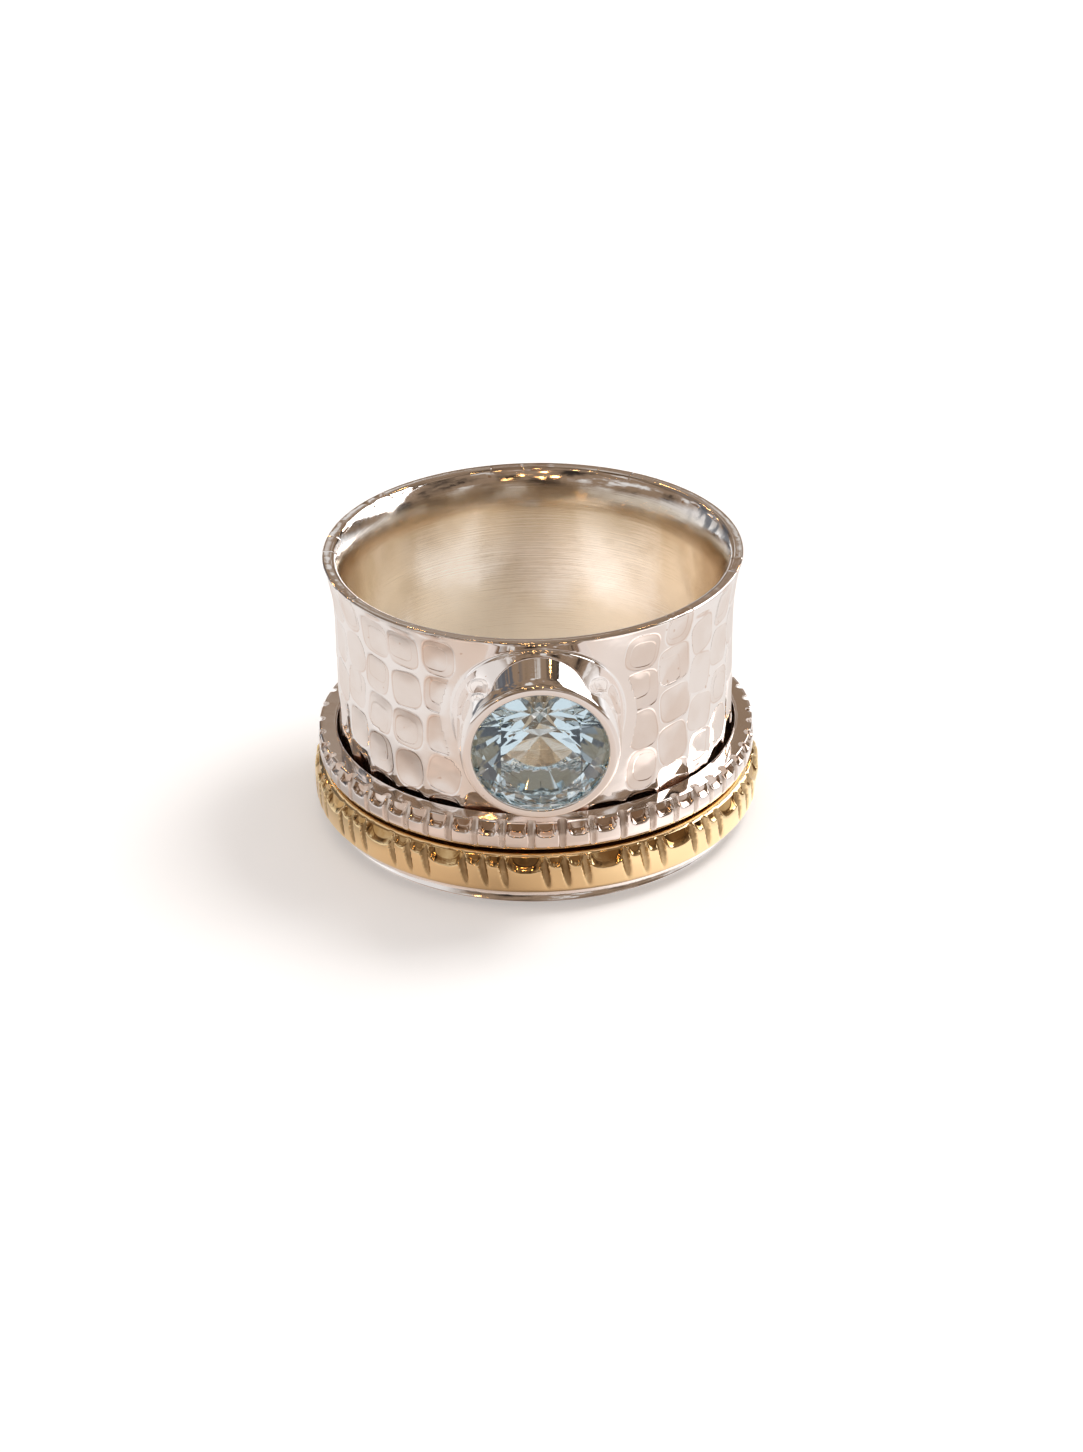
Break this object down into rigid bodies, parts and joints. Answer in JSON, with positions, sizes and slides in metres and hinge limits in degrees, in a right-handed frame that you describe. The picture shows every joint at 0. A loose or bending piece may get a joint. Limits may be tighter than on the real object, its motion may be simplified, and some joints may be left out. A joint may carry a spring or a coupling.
{
  "type": "spinner ring with a bezel-set stone",
  "caption": "Wide hammered silver finger ring with a round blue stone in a conical bezel and loose silver and gold-coloured rings that spin around it.",
  "frame": {"origin": "centre of the finger hole at the middle of the band's width", "axes": "+Z along the finger axis, up as the ring stands on its rim; the stone faces -Y"},
  "size_m": [0.0218, 0.0238, 0.0136],
  "materials": {
    "silver": "polished hammered silver, satin inside",
    "notched_silver": "polished silver with matt notches",
    "gold": "polished gold with dark matt cuts",
    "stone": "clear pale blue, polished facets"
  },
  "bodies": {
    "band_body": {"band": "silver", "topaz": "stone"},
    "notched_body": {"notched_ring": "notched_silver"},
    "gold_body": {"gold_ring": "gold"}
  },
  "joints": [
    {"name": "notched_spin", "type": "hinge", "parent": "band_body", "child": "notched_body", "pos_m": [0, 0, -0.00294], "axis": [0, 0, 1], "continuous": true},
    {"name": "gold_spin", "type": "hinge", "parent": "band_body", "child": "gold_body", "pos_m": [0, 0, -0.00492], "axis": [0, 0, 1], "continuous": true}
  ]
}
